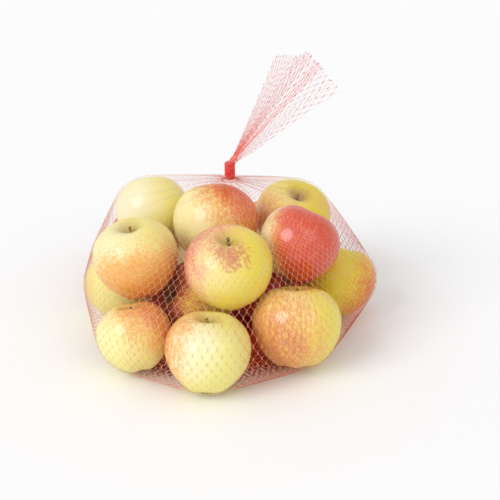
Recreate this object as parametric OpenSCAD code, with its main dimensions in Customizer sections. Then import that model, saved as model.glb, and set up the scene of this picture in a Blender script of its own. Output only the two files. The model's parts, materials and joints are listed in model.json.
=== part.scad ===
// Mesh produce bag: a tube of diamond netting filled with apples and clipped shut at both ends.
// Lengths are in millimetres and angles in degrees. Z is up, the front faces -Y, and the bag rests on z = 0.

/* [Apples] */
// Mean diameter of the apples
apple_d = 68; // [62:1:76]
// Difference in diameter between two size grades
grade_step = 1; // [0:0.25:1.25]
// Room left between apples that lean on each other
contact_gap = 0.4; // [0.3:0.1:1]
// Room added to the pitch of the places on the floor of the bag
row_gap = 0.5; // [0:0.25:3]
// Swelling of the shoulders towards the stem end
shoulder_swell = 3; // [0:0.5:4]
// Flattening of the stem end
crown_drop = 1.5; // [0:0.25:3]
// Flattening of the flower end
base_drop = 1; // [0:0.25:2]
// Depth of the hollow round the stem
hollow_depth = 12; // [10:0.5:14]
// Half angle of the hollow round the stem
hollow_angle = 18; // [15:1:21]
// Depth of the basin at the flower end
basin_depth = 6.5; // [6:0.25:8]
// Half angle of the basin at the flower end
basin_angle = 15; // [13:1:18]

/* [Stems and flower ends] */
// Diameter of a stem at its foot
stem_d = 2.6; // [1.8:0.2:3.2]
// Thickening of a stem towards its cut end
stem_flare = 0.6; // [0:0.1:1]
// Length of a stem above the floor of its hollow
stem_len = 7.5; // [4:0.5:8]
// Depth of the seats of stem and flower end in the flesh
seat_depth = 2; // [1:0.25:4]
// Room round a seated stem or flower end
seat_gap = 0.1; // [0.05:0.05:0.2]
// Diameter of the disc that carries the sepals
calyx_d = 4.6; // [3.6:0.2:5]
// Length of a sepal
sepal_len = 3; // [2:0.25:3.25]
// Width of a sepal at its foot
sepal_w = 1.6; // [1:0.1:2]
// Number of sepals
sepals = 5; // [4:1:6]

/* [Net] */
// Number of meshes round the net
meshes_round = 24; // [20:2:26]
// Number of rows of knots from the base to the neck
knot_rows = 20; // [18:1:21]
// Width of a strand
strand_w = 1.6; // [1.2:0.2:3]
// Thickness of a strand
strand_t = 1; // [0.8:0.1:1.4]
// Room between the strands and the apples
net_gap = 0.8; // [0.6:0.1:2]
// Room between the net on the floor and the apples on it
bed_gap = 0.8; // [0.6:0.1:0.9]
// Radius of the hole in which the net ends, at the neck and at the base
mouth_r = 4.2; // [3.8:0.2:5]
// Height of the neck above the top of the net
neck_rise = 0.6; // [0.4:0.1:6]
// Sideways distance of the neck from the top apple
neck_side = 12; // [0:1:16]
// Distance of the neck in front of the top apple
neck_front = 4; // [0:1:10]
// Radius at which the gathered base leaves the floor
navel_r = 14; // [12:0.5:16]
// Height to which the gathered base is pushed up
navel_h = 10; // [8:0.5:12]

/* [Closures] */
// Bore of a clip
clip_bore = 6.2; // [5.6:0.1:6.6]
// Thickness of a clip
clip_t = 1.2; // [0.8:0.1:1.6]
// Height of a clip
clip_h = 11.5; // [9:0.5:13]
// Height of the rolled rim at each end of a clip
rim_h = 1.2; // [0.8:0.1:2]
// Thickness the rolled rim adds
rim_t = 0.3; // [0.1:0.05:0.5]
// Thickness of the lapped end of a clip
lap_t = 0.5; // [0.3:0.1:0.8]
// Angle that the lapped end covers
lap_angle = 70; // [40:5:120]
// Room between the gathered strands and the clip round them
grip_gap = 0.1; // [0.05:0.05:0.2]
// Depth of the flutes between the gathered strands
flute = 0.25; // [0.1:0.05:0.4]
// Height of the clip above the mouth of the net
clip_lift = 2.5; // [2.4:0.1:4]
// Radius of the knot on which the tail bends
knot_r = 2.2; // [1.8:0.1:2.4]
// Height of the knot above the clip
knot_lift = 4; // [3.8:0.1:6]

/* [Tail] */
// Length of the tail from the knot
tail_len = 105; // [70:5:130]
// Width of the tail at its free end
tail_w = 64; // [40:2:90]
// How much shorter the tail is at its sides than in its middle
tail_drop = 12; // [0:1:20]
// Depth of the folds at the free end
tail_fold = 7; // [0:0.5:10]
// Room between the two layers of the tail
tail_gap = 3; // [2:0.25:3.5]
// Lean of the tail to the right
tail_lean = 38; // [10:1:40]
// Number of meshes round the tail
tail_meshes = 20; // [16:2:24]
// Number of rows of knots in the tail
tail_rows = 10; // [8:1:12]
// Width of a strand in the tail
tail_strand_w = 1.4; // [0.8:0.2:2]
// Thickness of a strand in the tail
tail_strand_t = 0.8; // [0.7:0.1:1]
// Length of the tuft at the base
tuft_len = 14; // [8:1:16]
// Radius of the tuft at its free end
tuft_r = 4.6; // [3.4:0.2:5]

/* [Hidden] */
$fn = 64;

// Places of the apples on the floor, in pitches, from the front right round to the back
spots = [
  [1.30, 0.75], [0.75, -0.45], [-0.25, -0.95], [-1.10, -0.55], [-1.35, 0.70],
  [0.35, 0.70], [-0.35, 1.35], [-0.45, 0.20], [-1.20, 1.90], [0.45, 2.00]
];
// The three apples that each apple of the upper layer leans on, counted from zero
leans = [[2, 1, 7], [1, 0, 5], [5, 6, 7], [3, 7, 4], [4, 8, 12], [5, 0, 9]];
// Size grade of each apple, the floor first
grades = [-1, 4, -1, -8, -1, -4, 0, -2, 0, 0, 2, -1, 4, 1, -4, -1];
// Tilt of each core from upright, and the heading to which it tilts
cores = [
  [30, 60], [20, 90], [10, 80], [20, 120], [50, 150], [80, -20], [70, 100], [60, -150],
  [65, 130], [75, 60], [10, -90], [40, 45], [40, 90], [10, 180], [45, 110], [20, -55]
];
// The apple that the neck is gathered over
crown = 12;
count = len(grades);
pitch = apple_d + row_gap;
bed = strand_t + bed_gap;
down = [0, 0, -1];
skin_step = 6;

function unit(v) = v / norm(v);
function mix(a, b, s) = a + (b - a) * s;
function bell(a, width) = exp(-pow(a / width, 2));

// Distance of the skin from the middle of an apple, at an angle from the stem
function skin_r(r, a) =
  r + shoulder_swell * cos(a) * pow(sin(a), 2)
  - (a < 90 ? crown_drop : base_drop) * pow(cos(a), 4)
  - hollow_depth * bell(a, hollow_angle)
  - basin_depth * bell(180 - a, basin_angle);
function skin_at(r, a) = skin_r(r, a) * [sin(a), cos(a)];

radius = [for (g = grades) (apple_d + g * grade_step) / 2];
skins = [for (r = radius) [for (a = [0:skin_step:180]) skin_at(r, a)]];
axes = [for (c = cores) [sin(c[0]) * cos(c[1]), sin(c[0]) * sin(c[1]), cos(c[0])]];

// How far an apple reaches from its middle in a direction
function reach(i, n) =
  let (c = axes[i] * n, s = sqrt(max(0, 1 - c * c)))
  max([for (p = skins[i]) p.x * s + p.y * c]);
function contact(i, j, way) = reach(i, way) + reach(j, -way) + contact_gap;

// The upper of the two points at given distances from three points
function above(p, d) =
  let (
    ex = unit(p[1] - p[0]),
    along = ex * (p[2] - p[0]),
    ey = unit(p[2] - p[0] - along * ex),
    side = ey * (p[2] - p[0]),
    span = norm(p[1] - p[0]),
    x = (d[0] * d[0] - d[1] * d[1] + span * span) / (2 * span),
    y = (d[0] * d[0] - d[2] * d[2] + along * along + side * side - 2 * along * x) / (2 * side),
    ez = cross(ex, ey),
    lift = sqrt(max(1, d[0] * d[0] - x * x - y * y))
  )
  p[0] + x * ex + y * ey + (ez.z < 0 ? -lift : lift) * ez;

// An apple let down on three others until it touches them
function settle(i, on, at, p, turns) =
  turns == 0 ? p :
  settle(i, on, at, above([for (j = on) at[j]], [for (j = on) contact(j, i, unit(p - at[j]))]), turns - 1);
function start(on, at) = (at[on[0]] + at[on[1]] + at[on[2]]) / 3 + [0, 0, 0.7 * apple_d];
function stack(at, k) =
  k == len(leans) ? at :
  stack(concat(at, [settle(len(spots) + k, leans[k], at, start(leans[k], at), 8)]), k + 1);

floor_layer = [for (i = [0:len(spots) - 1]) [spots[i].x * pitch, spots[i].y * pitch, bed + reach(i, down)]];
heap = stack(floor_layer, 0);
function extent(n) = max([for (i = [0:count - 1]) heap[i] * n + reach(i, n)]);
middle = [(extent([1, 0, 0]) - extent([-1, 0, 0])) / 2, (extent([0, 1, 0]) - extent([0, -1, 0])) / 2, 0];
place = [for (p = heap) p - middle];
heap_r = (extent([1, 0, 0]) + extent([-1, 0, 0]) + extent([0, 1, 0]) + extent([0, -1, 0])) / 4;
heap_top = extent([0, 0, 1]);

// The net stands off the apples so that its straight strands clear their round skins
strand_rise = (2 * heap_r + heap_top) / (knot_rows - 3);
strand_run = 180 / meshes_round * PI / 180 * heap_r;
strand_sag = (pow(strand_rise, 2) + pow(strand_run, 2)) / (8 * apple_d / 2);
net_off = net_gap + 1.12 * strand_sag;

neck = [place[crown].x + neck_side, place[crown].y - neck_front, heap_top + net_off + strand_t + neck_rise];
base = [place[crown].x - 2, place[crown].y + 4, navel_h];
clip_z = neck.z + clip_lift;
clip_top = clip_z + clip_h;
hinge = [neck.x, neck.y, clip_top + knot_lift];
bundle_r = clip_bore / 2 - grip_gap;
swivel_z = neck.z - strand_t / 2;
foot_gap = 0.3;
base_clip_z = navel_h + foot_gap;
tuft_z = base_clip_z + clip_h + foot_gap;

function two(i) = str(i < 9 ? "0" : "", i + 1);
function named(word) = [for (i = [0:count - 1]) str(word, "_", two(i))];

// Netting between an outer and an inner grid of knots, with every other row set half a mesh round
module netting(outer, inner, width) {
  rows = len(outer);
  round = len(outer[0]);
  half = rows * round;
  cells = [for (j = [1:rows - 2]) for (k = [0:round - 1]) [j, k]];
  function knot(j, k) = j * round + k % round;
  function across(j, k) = j % 2 == 0 ? k : k + 1;
  function corners(c) = [
    knot(c[0], c[1]), knot(c[0] + 1, across(c[0], c[1])),
    knot(c[0], c[1] + 1), knot(c[0] - 1, across(c[0], c[1]))
  ];
  skin = [for (row = outer) for (p = row) p];
  back = [for (row = inner) for (p = row) p];
  function inset(q) =
    let (
      wide = norm(skin[q[0]] - skin[q[2]]),
      tall = norm(skin[q[1]] - skin[q[3]]),
      room = wide * tall / (2 * norm([wide, tall]))
    )
    max(0.2, 1 - width / 2 / room);
  function window(grid, q, s) =
    let (c = (grid[q[0]] + grid[q[1]] + grid[q[2]] + grid[q[3]]) / 4)
    [for (i = q) mix(c, grid[i], s)];
  rings = [for (c = cells) corners(c)];
  shares = [for (q = rings) inset(q)];
  points = concat(
    skin, back,
    [for (n = [0:len(cells) - 1]) for (p = window(skin, rings[n], shares[n])) p],
    [for (n = [0:len(cells) - 1]) for (p = window(back, rings[n], shares[n])) p]
  );
  function front_pane(n, e) = 2 * half + 4 * n + e % 4;
  function back_pane(n, e) = 2 * half + 4 * len(cells) + 4 * n + e % 4;
  function corner(n, e) = rings[n][e % 4];
  quads = [
    for (n = [0:len(cells) - 1]) for (e = [0:3]) each [
      [corner(n, e), corner(n, e + 1), front_pane(n, e + 1), front_pane(n, e)],
      [half + corner(n, e + 1), half + corner(n, e), back_pane(n, e), back_pane(n, e + 1)],
      [front_pane(n, e), front_pane(n, e + 1), back_pane(n, e + 1), back_pane(n, e)]
    ],
    for (k = [0:round - 1]) each [
      [knot(0, k), knot(0, k + 1), half + knot(0, k + 1), half + knot(0, k)],
      [knot(rows - 1, k + 1), knot(rows - 1, k), half + knot(rows - 1, k), half + knot(rows - 1, k + 1)]
    ]
  ];
  ends = [
    for (k = [0:round - 1])
      let (
        low = [knot(0, k), knot(1, across(0, k)), knot(0, k + 1)],
        high = [knot(rows - 1, k), knot(rows - 1, k + 1), knot(rows - 2, across(rows - 1, k))]
      )
      each [
        low, high,
        [half + low[2], half + low[1], half + low[0]],
        [half + high[2], half + high[1], half + high[0]]
      ]
  ];
  faces = concat([for (q = quads) each [[q[0], q[1], q[2]], [q[0], q[2], q[3]]]], ends);
  polyhedron(points, faces, convexity = 12);
}

// Tangent planes round the apples and the neck, each with its distance from the origin
function tangent_planes(total) = concat(
  [[down, -strand_t]],
  [
    for (i = [0:total - 1])
      let (
        z = 1 - (2 * i + 1) / total,
        r = sqrt(1 - z * z),
        turn = i * 180 * (3 - sqrt(5)),
        n = [r * cos(turn), r * sin(turn), z],
        apples = max([for (a = [0:count - 1]) place[a] * n + reach(a, n)]) + net_off,
        top = (neck - [0, 0, strand_t]) * n + mouth_r * r
      )
      [n, max(apples, top)]
  ]
);

// The point where a ray from inside leaves the planes, moved out by an extra distance
function out_to(planes, from, way, extra) =
  from + way * min([
    for (p = planes)
      let (speed = p[0] * way)
      if (speed > 0.02 * norm(way)) (p[1] + extra - p[0] * from) / speed
  ]);

// The whole bag: gathered base, floor, sides and shoulders, up to the neck
module net_bag() {
  planes = tangent_planes(320);
  last = knot_rows - 1;
  half_h = heap_top / 2;
  near = 26;
  far = 14;
  legs = [0, heap_r - near, heap_r - near + heap_top, 2 * heap_r - near - far + heap_top];
  function turn(j, k) = 360 * (k + j % 2 / 2) / meshes_round;
  function ring(c, r, z, a) = [c.x + r * cos(a), c.y + r * sin(a), z];
  function run(s) = lookup(s * legs[3], [[legs[0], near], [legs[1], heap_r], [legs[2], heap_r], [legs[3], far]]);
  function rise(s) =
    lookup(s * legs[3], [[legs[0], -half_h], [legs[1], -half_h], [legs[2], half_h], [legs[3], half_h]]);
  function cast(s, a, extra) =
    let (c = mix(base, neck, s))
    out_to(planes, [c.x, c.y, half_h], [run(s) * cos(a), run(s) * sin(a), rise(s)], extra);
  function grid(extra, mouth, navel, navel_z, neck_z) = [
    for (j = [0:last]) [
      for (k = [0:meshes_round - 1])
        let (a = turn(j, k), s = (j - 2) / (last - 3))
        j == 0 ? ring(base, mouth, base.z, a) :
        j == 1 ? ring(base, navel, navel_z, a) :
        j == last ? ring(neck, mouth_r, neck_z, a) :
        cast(s, a, extra)
    ]
  ];
  outer = grid(strand_t, mouth_r, navel_r, 0, neck.z);
  inner = grid(0, mouth_r + strand_t, navel_r + strand_t, strand_t, neck.z - strand_t);
  color("crimson")
    netting(outer, inner, strand_w);
}

// Strands pressed together to a fluted rod
module gathered(h) {
  flutes = 12;
  linear_extrude(h)
    polygon([
      for (a = [0:5:355]) (bundle_r - flute / 2 + flute / 2 * cos(flutes * a)) * [cos(a), sin(a)]
    ]);
}

// The gathered strands of the neck: a ball seated in the mouth of the net, a rod in the clip, and the tail's knot
module neck_bundle() {
  stalk = 1.5;
  ball = mouth_r * cos(180 / meshes_round) - foot_gap;
  function bulb(r, z, from, to) = [for (a = [from:9:to]) [r * cos(a), z + r * sin(a)]];
  color("firebrick")
    translate([neck.x, neck.y, 0]) {
      translate([0, 0, swivel_z])
        gathered(clip_top + foot_gap - swivel_z);
      rotate_extrude()
        polygon(concat(
          [[0, swivel_z - ball * sin(63)]],
          bulb(ball, swivel_z, -63, 45),
          [[0, swivel_z + ball * sin(45)]]
        ));
      rotate_extrude()
        polygon(concat(
          [
            [0, clip_top],
            [bundle_r - flute, clip_top],
            [bundle_r - flute, clip_top + foot_gap],
            [stalk, clip_top + foot_gap + 0.8],
            [stalk, hinge.z - knot_r * sin(45)]
          ],
          bulb(knot_r, hinge.z, -45, 81),
          [[0, hinge.z + knot_r]]
        ));
    }
}

// A band rolled round the gathered strands, with rims and a lapped end
module clip() {
  bore = clip_bore / 2;
  band = bore + clip_t;
  rotate_extrude()
    polygon([
      [bore, 0],
      [band, 0],
      [band + rim_t, rim_t],
      [band + rim_t, rim_h],
      [band, rim_h + rim_t],
      [band, clip_h - 2 * rim_h],
      [band + 1.5 * rim_t, clip_h - rim_h],
      [band + 1.5 * rim_t, clip_h - rim_t],
      [band + rim_t, clip_h],
      [bore, clip_h]
    ]);
  rotate([0, 0, 200])
    rotate_extrude(angle = lap_angle)
      polygon([
        [band - 0.2, 2 * rim_h],
        [band + lap_t, 2 * rim_h],
        [band + lap_t, clip_h - 3 * rim_h],
        [band - 0.2, clip_h - 3 * rim_h]
      ]);
}

module neck_clip() {
  color("red")
    translate([neck.x, neck.y, clip_z])
      clip();
}

// The loose end of the net above the clip, flattened and folded, before it leans
module net_tail() {
  root_z = 0.8;
  root_in = knot_r + 0.25;
  last = tail_rows - 1;
  function flat_x(a) = abs(a - 180) / 90 - 1;
  function flat_y(a) = max(-1, min(1, (90 - abs(a % 180 - 90)) * tail_meshes / 180)) * (a < 180 ? 1 : -1);
  function at(j, k, extra) =
    let (
      s = j / last,
      open = pow(1 - s, 4),
      a = 360 * (k + j % 2 / 2) / tail_meshes,
      u = mix(flat_x(a), cos(a), open),
      v = mix(flat_y(a), sin(a), open),
      half_w = mix(root_in, tail_w / 2, pow(s, 0.85)) + extra,
      half_gap = mix(tail_gap / 2, root_in, open) + extra,
      fold = tail_fold * s * cos(270 * u) * (1 - u * u)
    )
    [half_w * u, fold + half_gap * v, mix(root_z, tail_len - tail_drop * u * u, s)];
  function grid(extra) = [for (j = [0:last]) [for (k = [0:tail_meshes - 1]) at(j, k, extra)]];
  color("salmon")
    translate(hinge)
      rotate([0, tail_lean, 0])
        netting(grid(tail_strand_t), grid(0), tail_strand_w);
}

module base_bundle() {
  color("firebrick")
    translate([base.x, base.y, navel_h + foot_gap])
      gathered(clip_h);
}

module base_clip() {
  color("red")
    translate([base.x, base.y, base_clip_z])
      clip();
}

// The short end of the net inside the bag, above the base clip
module base_tuft() {
  tuft_rows = 5;
  tuft_meshes = 10;
  root_in = clip_bore / 2 - 1;
  function at(j, k, extra) =
    let (
      s = j / (tuft_rows - 1),
      a = 360 * (k + j % 2 / 2) / tuft_meshes,
      r = mix(root_in, tuft_r - tail_strand_t, s) + extra
    )
    [base.x + r * cos(a), base.y + r * sin(a), tuft_z + tuft_len * s];
  function grid(extra) = [for (j = [0:tuft_rows - 1]) [for (k = [0:tuft_meshes - 1]) at(j, k, extra)]];
  color("salmon")
    netting(grid(tail_strand_t), grid(0), 1);
}

// Puts a piece made round the origin, stem up, into the place of an apple
module seated(i) {
  translate(place[i])
    rotate([0, cores[i][0], cores[i][1]])
      children();
}

function stem_floor(i) = skin_at(radius[i], 4).y;
function calyx_floor(i) = skin_at(radius[i], 175).y;

// One apple, turned round its core, with a seat for its stem and one for its flower end
module apple(i) {
  stem_seat = stem_d / 2 + seat_gap;
  calyx_seat = calyx_d / 2 + seat_gap;
  color(i % 3 == 0 ? "gold" : i % 3 == 1 ? "tomato" : "orange")
    seated(i)
      rotate_extrude()
        polygon(concat(
          [
            [0, stem_floor(i) - seat_depth],
            [stem_seat, stem_floor(i) - seat_depth],
            [stem_seat, stem_floor(i)]
          ],
          [for (a = [skin_step:skin_step:180 - skin_step]) skin_at(radius[i], a)],
          [
            [calyx_seat, calyx_floor(i)],
            [calyx_seat, calyx_floor(i) + seat_depth],
            [0, calyx_floor(i) + seat_depth]
          ]
        ));
}

// A short stem that widens to its cut end
module stem(i) {
  color("saddlebrown")
    seated(i)
      translate([0, 0, stem_floor(i) - seat_depth + seat_gap]) {
        cylinder(h = seat_depth + stem_len - 1.5, d = stem_d);
        translate([0, 0, seat_depth + stem_len - 1.5])
          cylinder(h = 1.5, d1 = stem_d, d2 = stem_d + stem_flare);
      }
}

// The dried flower end: a disc with a ring of sepals
module calyx(i) {
  color("olive")
    seated(i)
      translate([0, 0, calyx_floor(i) + seat_depth - seat_gap])
        rotate([180, 0, 0]) {
          cylinder(h = seat_depth, d = calyx_d);
          for (k = [0:sepals - 1])
            rotate([0, 0, 360 * k / sepals])
              translate([calyx_d / 4, 0, seat_depth - 0.4])
                rotate([0, 25, 0])
                  cylinder(h = sepal_len, d1 = sepal_w, d2 = sepal_w / 4);
        }
}

net_bag();
neck_bundle();
neck_clip();
net_tail();
base_bundle();
base_clip();
base_tuft();
for (i = [0:count - 1]) apple(i);
for (i = [0:count - 1]) stem(i);
for (i = [0:count - 1]) calyx(i);
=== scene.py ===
"""Looks of the mesh produce bag: a net of diamond mesh over a heap of apples, clipped shut at both ends.

Lengths are in millimetres until a mesh is made. Z is up and the front of the bag faces -Y.
"""

from __future__ import annotations

import json
import logging
import math
from collections.abc import Sequence
from dataclasses import dataclass, field
from enum import Enum
from typing import Any

import bpy
import numpy as np
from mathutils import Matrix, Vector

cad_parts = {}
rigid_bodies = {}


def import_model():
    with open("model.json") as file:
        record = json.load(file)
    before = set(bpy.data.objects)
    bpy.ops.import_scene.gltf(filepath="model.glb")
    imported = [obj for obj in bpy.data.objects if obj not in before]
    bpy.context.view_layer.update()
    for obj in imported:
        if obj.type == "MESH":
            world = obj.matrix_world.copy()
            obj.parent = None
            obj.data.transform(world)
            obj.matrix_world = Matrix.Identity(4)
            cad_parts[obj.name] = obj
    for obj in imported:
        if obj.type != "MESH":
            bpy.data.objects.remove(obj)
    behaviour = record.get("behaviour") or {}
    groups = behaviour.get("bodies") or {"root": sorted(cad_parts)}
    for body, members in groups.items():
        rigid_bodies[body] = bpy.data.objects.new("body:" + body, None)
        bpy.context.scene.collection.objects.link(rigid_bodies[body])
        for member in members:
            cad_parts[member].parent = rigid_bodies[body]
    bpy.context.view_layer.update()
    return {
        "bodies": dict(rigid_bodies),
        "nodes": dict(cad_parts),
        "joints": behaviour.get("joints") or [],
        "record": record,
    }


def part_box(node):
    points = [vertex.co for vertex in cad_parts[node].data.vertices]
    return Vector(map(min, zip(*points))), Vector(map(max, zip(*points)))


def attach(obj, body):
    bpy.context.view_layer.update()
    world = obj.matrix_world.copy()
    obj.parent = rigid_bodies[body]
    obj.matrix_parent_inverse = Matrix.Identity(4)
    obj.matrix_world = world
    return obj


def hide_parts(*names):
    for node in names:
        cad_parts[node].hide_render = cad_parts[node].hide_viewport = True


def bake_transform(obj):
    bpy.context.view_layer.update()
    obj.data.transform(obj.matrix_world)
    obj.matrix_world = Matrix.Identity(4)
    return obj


LOG = logging.getLogger("produce_bag")
MM = 0.001
GOLDEN_TURN = math.pi * (3.0 - math.sqrt(5.0))
ORIGIN = np.zeros(3)
UP = np.array([0.0, 0.0, 1.0])

Array = np.ndarray
Colour = tuple[float, float, float]
Direction = tuple[float, float, float]
Span = tuple[float, float]

# Where the layers of a skin set in, as shares of sun, noise, direction and way from stem to flower end.
CHEEK_SUN: Span = (-0.5, 0.3)
BLUSH_SUN: Span = (0.0, 0.8)
MOTTLE_SUN: Span = (0.3, 0.9)
MOTTLE_RANGE: Span = (0.02, 0.3)
# Where the painted sheen sets in: a pale highlight painted on the side of the skin that faces the key lamp.
PAINTED_SHEEN_RANGE: Span = (0.3, 1.1)
KISS_RANGE: Span = (0.87, 1.02)
PORE_RANGE: Span = (0.06, 0.17)
STEM_END: Span = (0.04, 0.16)
FLOWER_END: Span = (0.9, 0.97)
OPACITY = 0.9

# Radius of the net beside a clip, the neck above its pivot, the rods past their clips, the tail in its clip.
GATHERED = 2.6
NECK_LIFT = 0.2
NECK_ROD_OUT = 0.6
BASE_ROD_OUT = 0.4
TAIL_TUCK = 1.5


def unit(v: Array) -> Array:
    """Scales the vectors on the last axis to length one."""
    return v / np.maximum(np.linalg.norm(v, axis=-1, keepdims=True), 1e-9)


def mix(a: Any, b: Any, share: Any) -> Any:
    """Goes from a to b in a straight line: a + (b - a) * share."""
    return a + (b - a) * share


def ease(value: Array, low: float, high: float) -> Array:
    """Eases from 0 at low to 1 at high: 3 t^2 - 2 t^3."""
    t = np.clip((value - low) / (high - low), 0.0, 1.0)
    return t * t * (3.0 - 2.0 * t)


def bell(value: Array, width: float) -> Array:
    """A Gaussian bump: exp(-(value / width)^2)."""
    return np.exp(-((value / width) ** 2))


def circle(middle: Array, radius: Any, turn: Any, height: Any) -> Array:
    """Puts points on level circles: middle + radius * (cos(turn), sin(turn)), at a height.

    Args:
        middle: a point on the upright line through the middles.
        radius: radius of the circle of each point.
        turn: angle round the line, from +X towards +Y.
        height: z of each point.

    Returns:
        The points, with x, y and z on the last axis.
    """
    x = middle[0] + radius * np.cos(turn)
    y = middle[1] + radius * np.sin(turn)
    return np.stack(np.broadcast_arrays(x, y, height), axis=-1)


def staggered(rows: int, columns: int) -> Array:
    """Places of knots round a tube, in whole turns, with every other row half a mesh on."""
    return (np.arange(columns) + 0.5 * (np.arange(rows) % 2)[:, None]) / columns


def linear(colour: Colour) -> tuple[float, float, float, float]:
    """Turns a colour as it is seen into linear light.

    Args:
        colour: red, green and blue, from 0 to 255.

    Returns:
        Linear red, green and blue, and full alpha.
    """
    seen = np.asarray(colour) / 255.0
    light = np.where(seen <= 0.04045, seen / 12.92, ((seen + 0.055) / 1.055) ** 2.4)
    return (*(float(x) for x in light), 1.0)


class Slot(Enum):
    """The material slots of the record."""

    NET = "net"
    CLIP = "clip"
    YELLOW = "apple_yellow"
    ORANGE = "apple_orange"
    RED = "apple_red"
    STEM = "stem"
    CALYX = "calyx"


@dataclass
class Surface:
    """Points and faces of one piece, with values kept at its points."""

    points: Array
    faces: list[Array]
    values: dict[str, Array] = field(default_factory=dict)

    @staticmethod
    def wrapped(grid: Array) -> Surface:
        """Skins a grid that closes on itself along its columns, and puts a lid on each end row.

        Args:
            grid: points, as rows x columns x 3, with the columns anticlockwise seen from the last row.

        Returns:
            The closed surface.
        """
        rows, columns = grid.shape[:2]
        index = np.arange(rows * columns).reshape(rows, columns)
        right = np.roll(index, -1, axis=1)
        quads = np.stack([index[:-1], right[:-1], right[1:], index[1:]], axis=-1)
        return Surface(grid.reshape(-1, 3), [quads.reshape(-1, 4), index[:1, ::-1], index[-1:]])

    @staticmethod
    def swept(paths: Array, across: Array, through: Array, up: Array, sides: int) -> Surface:
        """Carries an elliptical profile along many paths at once.

        A ring is centre + across * cos(a) * side + through * sin(a) * rise, and side and rise stand
        square to the path. One flat side faces up. The rings of one path are skinned, and each end
        gets a lid.

        Args:
            paths: centres, as paths x rings x 3.
            across: half width of the profile, as rings or as paths x rings.
            through: half thickness of the profile, in the same form.
            up: direction that the thickness is measured in, as 3 or as paths x rings x 3.
            sides: corners of the profile.

        Returns:
            All the tubes as one surface.
        """
        count, rings = paths.shape[:2]
        along = unit(np.gradient(paths, axis=1))
        side = unit(np.cross(up, along))
        rise = np.cross(along, side)
        turn = 2.0 * math.pi * (np.arange(sides) + 0.5) / sides + math.pi / 2.0
        girth = 1.0 / math.sqrt(math.cos(math.pi / sides))
        wide = (across * girth)[..., None, None] * np.cos(turn)[:, None] * side[:, :, None]
        tall = (through * girth)[..., None, None] * np.sin(turn)[:, None] * rise[:, :, None]
        points = paths[:, :, None] + wide + tall
        index = np.arange(count * rings * sides).reshape(count, rings, sides)
        right = np.roll(index, -1, axis=2)
        quads = np.stack([index[:, :-1], right[:, :-1], right[:, 1:], index[:, 1:]], axis=-1)
        return Surface(points.reshape(-1, 3), [quads.reshape(-1, 4), index[:, 0, ::-1], index[:, -1]])

    @staticmethod
    def joined(parts: Sequence[Surface]) -> Surface:
        """Puts several surfaces into one.

        Args:
            parts: the surfaces.

        Returns:
            One surface, with the values that all the parts have.
        """
        starts = np.cumsum([0] + [len(p.points) for p in parts])
        faces = [block + start for p, start in zip(parts, starts) for block in p.faces]
        keys = set.intersection(*(set(p.values) for p in parts))
        values = {k: np.concatenate([p.values[k] for p in parts]) for k in sorted(keys)}
        return Surface(np.concatenate([p.points for p in parts]), faces, values)

    def make(self, name: str, material: bpy.types.Material, smooth: bool = True) -> bpy.types.Object:
        """Puts the surface into a mesh object at the origin.

        Args:
            name: name of the object and of its mesh.
            material: what the object is finished with.
            smooth: whether the faces run into each other.

        Returns:
            The new object.
        """
        mesh = bpy.data.meshes.new(name)
        corners = np.concatenate([block.ravel() for block in self.faces])
        sizes = np.concatenate([np.full(len(block), block.shape[1]) for block in self.faces])
        mesh.vertices.add(len(self.points))
        mesh.vertices.foreach_set("co", (self.points * MM).astype(np.float32).ravel())
        mesh.loops.add(len(corners))
        mesh.loops.foreach_set("vertex_index", corners.astype(np.int32))
        mesh.polygons.add(len(sizes))
        mesh.polygons.foreach_set("loop_start", (np.cumsum(sizes) - sizes).astype(np.int32))
        mesh.update(calc_edges=True)
        mesh.validate()
        if smooth:
            mesh.shade_smooth()
        else:
            mesh.shade_flat()
        for key, value in self.values.items():
            vector = value.ndim == 2
            layer = mesh.attributes.new(key, "FLOAT_VECTOR" if vector else "FLOAT", "POINT")
            layer.data.foreach_set("vector" if vector else "value", value.astype(np.float32).ravel())
        mesh.materials.append(material)
        piece = bpy.data.objects.new(name, mesh)
        bpy.context.scene.collection.objects.link(piece)
        return piece


class Value:
    """A shader socket that takes part in Python arithmetic."""

    def __init__(self, graph: Graph, socket: bpy.types.NodeSocket) -> None:
        """Keeps the socket and the graph that it belongs to."""
        self.graph = graph
        self.socket = socket

    def __add__(self, other: Operand) -> Value:
        """self + other."""
        return self.graph.math("ADD", self, other)

    def __sub__(self, other: Operand) -> Value:
        """self - other."""
        return self.graph.math("SUBTRACT", self, other)

    def __rsub__(self, other: Operand) -> Value:
        """other - self."""
        return self.graph.math("SUBTRACT", other, self)

    def __mul__(self, other: Operand) -> Value:
        """self * other."""
        return self.graph.math("MULTIPLY", self, other)


Operand = Value | float


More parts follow.
